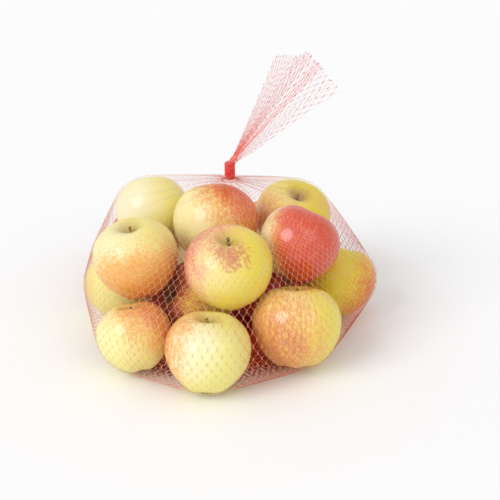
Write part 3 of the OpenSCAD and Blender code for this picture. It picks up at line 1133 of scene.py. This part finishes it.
    def weights(self, knots: Array) -> tuple[Array, tuple[Array, Array], dict[str, Array]]:
        """Works out how heavy and how deep in colour the strands are.

        They are fine and clear on the fruit, bolder where they hang free, finer where they crowd, deep at
        the neck, and widest and deepest in the pleats on the floor. Where they hang free they are paler and
        finer higher up, and they are painted paler and made finer on the left, towards the key lamp, and
        deeper and bolder on the right: painted light and shade.

        Args:
            knots: the knots of the net.

        Returns:
            At each knot the half width, the tones beside it and at it, and how the skin below tints it.
        """
        shape = knots.shape[:2]
        pitch = np.linalg.norm(knots - np.roll(knots, 1, axis=1), axis=-1).mean(axis=1)[:, None]
        crowd = np.maximum(pitch / pitch.max(), self.least_crowd)
        gap, tint = self.under(knots.reshape(-1, 3))
        free = ease(gap.reshape(shape), *self.free_gap)
        laid = 1.0 - ease(knots[..., 2], *self.floor_heights)
        inner = 1.0 - ease(np.linalg.norm(knots[..., :2] - self.base[:2], axis=-1), *self.pleat_reach)
        near = 1.0 - ease(np.linalg.norm(knots - self.neck, axis=-1), *self.neck_reach)
        high = ease(knots[..., 2], *self.upper_heights)
        # Painted light and shade: free strands are painted paler and made finer on the left, towards the key
        # lamp, and deeper and bolder on the right, away from it.
        lit = ease(knots[..., 0], *self.lit_side)
        bold = mix(1.7, 1.1, high) * mix(0.7, 1.25, lit)
        width = self.half_width * mix(crowd * mix(0.8, bold, free), mix(1.8, 9.0, inner), laid)
        hanging = mix(1.0, 0.45, high) * crowd * mix(0.5, 1.5, lit)
        line_tone = mix(0.06, hanging, free) + 1.9 * laid * inner
        knot_tone = mix(crowd * mix(0.6, 0.8, free), mix(0.6, 2.0, inner), laid)
        tones = (mix(line_tone, 1.0, near), mix(knot_tone, 1.2, near))
        values = {"cling": 0.85 * (1.0 - free[..., None]), "tint": tint.reshape(*shape, 3)}
        return width, tones, values

    def build(self, material: bpy.types.Material) -> None:
        """Makes the net in four pieces: the lower ones lie still, and the upper one reaches into the clip.

        Args:
            material: what the strands are made of.
        """
        lattice = self.cast()
        self.settle(lattice)
        width, tones, values = self.weights(lattice.knots)
        cuts = [0, *self.splits, self.rows - 1]
        for name, start, end in zip(("floor", "hip", "waist"), cuts, cuts[1:]):
            part = lattice.strands(width, self.half_thick, tones, slice(start, end + 1), values)
            hand_over(part.make(f"net_{name}", material, False), "net", Slot.NET, "net_bag")
        part = lattice.strands(width, self.half_thick, tones, slice(cuts[-2], None), values)
        top = part.make("net_shoulder", material, False)
        ends = np.array([[*self.neck[:2], self.neck[2] - 0.8], [*self.neck[:2], self.clip_low]])
        bridge(top, ("net", "closure"), ends, Slot.NET, "net_bag")


@dataclass
class Clip:
    """A gloss band rolled round gathered strands, with the strands that it holds."""

    middle: Array
    low: float
    high: float
    bore: float = 3.1
    band: float = 4.3
    rod: float = 2.75
    flutes: int = 12
    columns: int = 72

    def turned(self, profile: Array, depth: float = 0.0) -> Surface:
        """Turns a profile round the middle, with waves in the radius for flutes.

        Args:
            profile: radius and height of its points, from the lowest.
            depth: depth of the flutes, as a share of the radius.

        Returns:
            The closed surface.
        """
        turn = np.linspace(0.0, 2.0 * math.pi, self.columns, endpoint=False)[None, :]
        r = profile[:, :1] * (1.0 + depth * np.cos(self.flutes * turn))
        return Surface.wrapped(circle(self.middle, r, turn, profile[:, 1:]))

    def shell(self) -> Surface:
        """The band: a barrel with two rolled rims, closed through its bore.

        The radius is the band's, plus a sine over the height and a Gaussian at each rim, less a Gaussian
        at each edge.

        Returns:
            The surface.
        """
        h = self.high - self.low
        t = np.linspace(0.0, 1.0, 40)
        bulge = 0.34 * (bell(t - 0.07, 0.05) + bell(t - 0.93, 0.05)) + 0.12 * np.sin(math.pi * t)
        round_in = 0.5 * (bell(t, 0.03) + bell(t - 1.0, 0.03))
        outer = np.stack([self.band + bulge - round_in, self.low + h * t], axis=-1)
        lip = self.bore + 0.4
        start = [[self.bore, self.low + 0.3], [lip, self.low]]
        end = [[lip, self.high], [self.bore, self.high - 0.3]]
        return self.turned(np.vstack([start, outer, end]))

    def lap(self) -> Surface:
        """The lapped end of the band: a thin upright ellipse carried along an arc on its front.

        Returns:
            The surface.
        """
        turn = np.linspace(math.radians(205.0), math.radians(275.0), 24)
        path = circle(self.middle, self.band + 0.28, turn, 0.5 * (self.low + self.high))
        tall = 0.33 * (self.high - self.low) * np.minimum(1.0, np.linspace(4.0, 0.85, len(turn)))
        thick = np.full(len(turn), 0.22)
        return Surface.swept(path[None], thick, tall, UP, 12)

    def bundle(self, low: float, high: float) -> Surface:
        """Strands pressed to a fluted rod, with a sine over the height that thickens its middle.

        Args:
            low: lower end of the rod.
            high: upper end of the rod.

        Returns:
            The surface, with the value knot.
        """
        t = np.linspace(0.0, 1.0, 24)
        r = self.rod + 0.2 * np.sin(math.pi * t)
        surface = self.turned(np.stack([r, mix(low, high, t)], axis=-1), depth=0.06)
        surface.values = {"knot": np.full(len(surface.points), 1.0)}
        return surface

    def build(self, names: tuple[str, str], body: str, nodes: tuple[str, str], ends: tuple[float, float],
              gloss: bpy.types.Material, net: bpy.types.Material) -> None:
        """Makes the band and the rod inside it.

        Args:
            names: names of the band and the rod.
            body: the CAD body that carries both.
            nodes: the CAD nodes of the band and the rod.
            ends: lower and upper end of the rod.
            gloss: material of the band.
            net: material of the rod.
        """
        shell = Surface.joined([self.shell(), self.lap()]).make(names[0], gloss)
        hand_over(shell, body, Slot.CLIP, nodes[0])
        hand_over(self.bundle(*ends).make(names[1], net), body, Slot.NET, nodes[1])


@dataclass
class Tail:
    """The loose end of the net above the clip: a flattened, pleated fan that leans to the right."""

    middle: Array
    low: float
    hinge: Array
    columns: int = 54
    rows: int = 20
    lean: float = 38.4
    spread: float = 16.6
    length: float = 106.0
    droop: float = 16.0
    depth: float = 9.0
    ripple: float = 2.2
    half_width: float = 0.085
    half_thick: float = 0.1

    def fold(self, q: Array) -> tuple[Array, Array]:
        """Path of the flattened tube across the fan: along the front, through a pleat, and back behind.

        Args:
            q: place round the tube, from 0 to 1.

        Returns:
            The place across, from -1 to 1, and the place towards the front.
        """
        knots = [0.0, 0.12, 0.22, 0.29, 0.35, 0.41, 0.47, 0.53, 0.62, 0.70, 0.78, 0.88, 1.0]
        across = [-1.0, -0.45, 0.0, 0.14, -0.08, 0.12, 0.55, 1.0, 0.1, -0.5, -0.12, -0.55, -1.0]
        front = [0.0, 0.45, 0.6, 1.1, 0.3, 0.5, 0.3, 0.0, -0.3, -0.2, -0.6, -0.5, 0.0]
        return np.interp(q, knots, across), np.interp(q, knots, front)

    def lattice(self) -> Lattice:
        """Knots of the fan.

        In the fan's plane a knot lies at a distance and an angle from the clip: the angle grows with the
        place across and opens up from the clip, and the distance ends on an uneven edge. Between its ends
        a row runs unevenly, in two waves round the tube.

        Returns:
            The knots, with the first row in the clip.
        """
        s = np.linspace(0.0, 1.0, self.rows)[:, None]
        q = staggered(self.rows, self.columns)
        u, v = self.fold(q % 1.0)
        edge = np.interp(u, [-1.0, -0.42, -0.31, 0.07, 0.5, 1.0], [0.907, 0.969, 1.037, 1.034, 0.998, 1.008])
        wobble = np.sin(6.0 * math.pi * q) + 0.7 * np.sin(14.0 * math.pi * q + 1.0)
        far = (s + 3.2 * s * (1.0 - s) * wobble / self.rows) * self.length * edge
        droop = self.droop * (1.0 - s) ** 3 * np.maximum(u, 0.0) ** 2
        angle = np.radians(self.lean + self.spread * u + droop)
        shut = 1.0 - ease(s, 0.0, 0.12)
        turn = 2.0 * math.pi * q
        depth = v * self.depth * s + self.ripple * s * np.sin(5.0 * u + 2.0 * s)
        x = far * np.sin(angle) - GATHERED * shut * np.cos(turn)
        y = -depth * (1.0 - shut) - GATHERED * shut * np.sin(turn)
        z = far * np.cos(angle)
        return Lattice(np.array([*self.middle[:2], self.low]) + np.stack([x, y, z], axis=-1))

    def build(self, material: bpy.types.Material) -> None:
        """Makes the fan above the clip.

        Args:
            material: what the strands are made of.
        """
        lattice = self.lattice()
        s = np.linspace(0.0, 1.0, self.rows)[:, None]
        width = self.half_width * mix(0.5, 1.0, np.sqrt(s))
        line_tone = mix(0.15, 1.0, 1.0 - ease(s, 0.1, 0.6))
        marked = np.where(np.arange(self.columns) % 5 == 0, 1.0, 0.0)[None, :]
        tones = (line_tone, mix(line_tone + 0.1, 1.8, marked))
        fan = lattice.strands(width, self.half_thick, tones, node=0.09)
        piece = fan.make("net_tail_fan", material, False)
        way = np.array([math.sin(math.radians(self.lean)), 0.0, math.cos(math.radians(self.lean))])
        ends = np.array([self.hinge - 3.0 * way, self.hinge + 6.0 * way])
        bridge(piece, ("closure", "tail"), ends, Slot.NET, "net_tail")


@dataclass
class Tuft:
    """The short end of the net above the base clip, inside the bag."""

    low: Array
    high: Array
    columns: int = 26
    rows: int = 7
    inset: float = 0.4
    half_width: float = 0.32
    half_thick: float = 0.28

    def build(self, material: bpy.types.Material) -> None:
        """Makes a small tube of netting that flares by a power of its height, less five waves round it.

        Args:
            material: what the strands are made of.
        """
        middle = 0.5 * (self.low + self.high)
        top = 0.5 * (self.high[0] - self.low[0]) - self.inset
        s = np.linspace(0.0, 1.0, self.rows)[:, None]
        turn = 2.0 * math.pi * staggered(self.rows, self.columns)
        r = mix(GATHERED, top, s**1.4) * (1.0 - 0.12 * s * (1.0 + np.cos(5.0 * turn)))
        knots = circle(middle, r, turn, mix(self.low[2], self.high[2] - self.inset, s))
        fan = Lattice(knots).strands(self.half_width, self.half_thick, (0.5, 1.0))
        hand_over(fan.make("base_tuft_fan", material, False), "net", Slot.NET, "base_tuft")


@dataclass
class Studio:
    """White floor, soft lamps and the camera at the photograph's angle."""

    target: Array = field(default_factory=lambda: np.array([16.8, -42.3, 90.3]))
    elevation: float = 26.0
    distance: float = 850.0
    lens: float = 77.5
    sky: float = 0.7
    backdrop: float = 0.97
    floor_half: float = 4000.0

    def floor(self) -> None:
        """A wide level plane, white to the camera and shaded by the bag."""
        square = np.array([[-1.0, -1.0, 0.0], [1.0, -1.0, 0.0], [1.0, 1.0, 0.0], [-1.0, 1.0, 0.0]])
        white = {"Base Color": linear((250, 250, 251)), "Roughness": 0.9, "Specular IOR Level": 0.0}
        material = Graph.coat("floor_white").finish(white)
        floor = Surface(self.floor_half * square, [np.array([[0, 1, 2, 3]])]).make("floor", material)

    def lamp(self, name: str, way: Direction, breadth: float, strength: float) -> None:
        """A broad far lamp that lights the whole room evenly.

        Args:
            name: name of the lamp.
            way: direction from the bag to the lamp.
            breadth: how wide the lamp looks from the bag, in degrees.
            strength: its strength, where pi lights a white surface that faces it fully.
        """
        light = bpy.data.lights.new(name, "SUN")
        light.angle = math.radians(breadth)
        light.energy = strength
        lamp = bpy.data.objects.new(name, light)
        x, y, z = unit(np.array(way))
        lamp.rotation_euler = (math.acos(z), 0.0, math.atan2(x, -y))
        bpy.context.scene.collection.objects.link(lamp)

    def world(self) -> None:
        """Even white light all round, and plain white behind."""
        world = bpy.data.worlds.new("white_room")
        g = Graph(world)
        soft = g.node("ShaderNodeBackground", {}, {"Color": (1.0, 1.0, 1.0, 1.0), "Strength": self.sky})
        white = g.node("ShaderNodeBackground", {}, {"Color": (*[self.backdrop] * 3, 1.0)})
        kinds = ("Camera", "Glossy", "Transmission")
        rays = [g.node("ShaderNodeLightPath", {}, {}, f"Is {kind} Ray") for kind in kinds]
        seen = g.math("MAXIMUM", g.math("MAXIMUM", rays[0], rays[1]), rays[2])
        both = g.node("ShaderNodeMixShader", {}, {0: seen, 1: soft, 2: white})
        g.node("ShaderNodeOutputWorld", {}, {"Surface": both}, None)
        bpy.context.scene.world = world

    def camera(self) -> None:
        """The camera looks along +Y and down at its elevation."""
        data = bpy.data.cameras.new("camera")
        data.sensor_width = 36.0
        data.lens = self.lens
        data.clip_end = 50.0
        camera = bpy.data.objects.new("camera", data)
        fall = math.radians(self.elevation)
        back = np.array([0.0, -math.cos(fall), math.sin(fall)])
        camera.location = (self.target + self.distance * back) * MM
        camera.rotation_euler = (math.pi / 2 - fall, 0.0, 0.0)
        bpy.context.scene.collection.objects.link(camera)
        bpy.context.scene.camera = camera

    def build(self) -> None:
        """Sets up the room."""
        self.camera()
        self.floor()
        self.world()
        self.lamp("key", way=(-0.68, -0.54, 0.62), breadth=34.0, strength=1.38)
        self.lamp("fill", way=(0.5, -0.6, 0.7), breadth=40.0, strength=0.3)
        bpy.context.scene.view_settings.view_transform = "Standard"


def main() -> None:
    """Builds the bag and its room."""
    logging.basicConfig(level=logging.INFO, format="%(message)s")
    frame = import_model()
    plan = Plan(frame)
    Studio().build()
    net = NetFinish().material("net_plastic")
    # A second copy of the net's colours for the tail: its knots are painted brighter against the shade of
    # its crowded root, as painted light, and its strands are a little darker.
    tail_painted_light = NetFinish(strand=(234, 190, 188), knot=(248, 112, 92), pleat=(146, 80, 82))
    loose = tail_painted_light.material("net_loose")
    gloss = GlossFinish().material("clip_lacquer")
    stem = WoodyFinish(light=(160, 132, 56), dark=(100, 72, 34)).material("stem_bark")
    calyx = WoodyFinish(light=(104, 82, 48), dark=(44, 30, 18)).material("calyx_dry")
    apples = plan.apples()
    for apple, finish in zip(apples, PEELS):
        apple.build(finish, stem, calyx)
    swivel = plan.spot("clip_tilt")
    hinge = plan.spot("tail_bend")
    clip_low, clip_high = plan.box("neck_clip")
    base_low, base_high = plan.box("base_clip")
    neck = swivel + NECK_LIFT * UP
    base = 0.5 * (base_low + base_high)
    Bag(apples, neck, clip_low[2], base, base_low[2]).build(net)
    Clip(neck, clip_low[2], clip_high[2]).build(
        ("neck_band", "neck_rod"), "closure", ("neck_clip", "neck_bundle"),
        (swivel[2], clip_high[2] + NECK_ROD_OUT), gloss, net)
    Clip(base, base_low[2], base_high[2]).build(
        ("base_band", "base_rod"), "net", ("base_clip", "base_bundle"),
        (base_low[2], base_high[2] + BASE_ROD_OUT), gloss, net)
    Tail(neck, clip_high[2] - TAIL_TUCK, hinge).build(loose)
    Tuft(*plan.box("base_tuft")).build(net)


if __name__ == "__main__":
    main()
